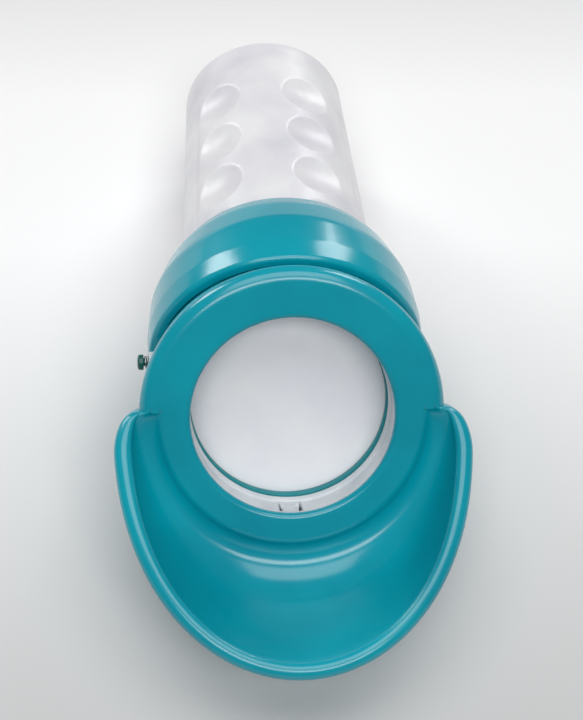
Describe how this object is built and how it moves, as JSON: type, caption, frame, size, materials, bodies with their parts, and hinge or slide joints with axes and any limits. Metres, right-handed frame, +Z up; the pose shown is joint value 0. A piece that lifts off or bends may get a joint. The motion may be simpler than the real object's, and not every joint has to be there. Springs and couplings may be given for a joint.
{
  "type": "squeeze bulb with scoop mouthpiece",
  "caption": "Hand-held squeeze bulb that fills through a spring-loaded inlet disc in a scoop-shaped mouthpiece, with a dimpled frosted body, a screw collar and a side vent button.",
  "frame": {"origin": "centre of the overall box, on the surface that the foot stands on", "axes": "+Z up, scoop towards -Y, squeeze body towards +Y, +X to the right seen from the scoop"},
  "size_m": [0.0768, 0.1662, 0.0644],
  "materials": {
    "teal_plastic": "glossy opaque teal moulding",
    "gasket_rubber": "satin dark teal silicone rubber",
    "frosted_plastic": "frosted translucent natural plastic",
    "disc_plastic": "brushed off-white plastic disc",
    "vent_plastic": "dark green moulded plastic",
    "seal_rubber": "dark grey seal rubber",
    "spring_steel": "bright drawn stainless wire and pressings"
  },
  "bodies": {
    "head": {"scoop_head": "teal_plastic", "elbow_housing": "teal_plastic", "head_seal": "seal_rubber", "mouth_liner": "frosted_plastic", "inlet_gasket": "gasket_rubber", "valve_spider": "frosted_plastic", "valve_spring": "spring_steel", "vent_bush": "frosted_plastic", "vent_spring": "spring_steel"},
    "inlet_valve": {"inlet_disc": "disc_plastic", "valve_stem": "frosted_plastic", "stem_clip": "spring_steel", "spring_seat": "spring_steel"},
    "vent": {"vent_button": "vent_plastic", "vent_poppet": "seal_rubber"},
    "latch": {"liner_latch": "frosted_plastic"},
    "grip": {"squeeze_body": "frosted_plastic", "body_seal": "seal_rubber"},
    "collar": {"retaining_collar": "teal_plastic", "slip_washer": "frosted_plastic"}
  },
  "joints": [
    {"name": "inlet_open", "type": "slide", "parent": "head", "child": "inlet_valve", "axis": [0, 0.7755, -0.6314], "range_m": [0, 0.003], "stiffness_N_per_m": 120, "springref_m": -0.002, "deforming": ["valve_spring"]},
    {"name": "vent_press", "type": "slide", "parent": "head", "child": "vent", "axis": [1, 0, 0], "range_m": [0, 0.0008], "stiffness_N_per_m": 300, "springref_m": -0.0006, "deforming": ["vent_spring"]},
    {"name": "latch_press", "type": "slide", "parent": "head", "child": "latch", "axis": [0, 0.6314, 0.7755], "range_m": [0, 0.0008], "stiffness_N_per_m": 400, "springref_m": -0.0003},
    {"name": "collar_turn", "type": "hinge", "parent": "grip", "child": "collar", "pos_m": [0, -0.02458, 0.03565], "axis": [0, 0.9873, -0.159], "range_deg": [0, 720]},
    {"name": "body_draw", "type": "slide", "parent": "head", "child": "grip", "axis": [0, 0.9873, -0.159], "range_m": [0, 0.006]}
  ],
  "couplings": [
    {"joint": "collar_turn", "follows": "body_draw", "rad_per_m": 2094.4}
  ]
}
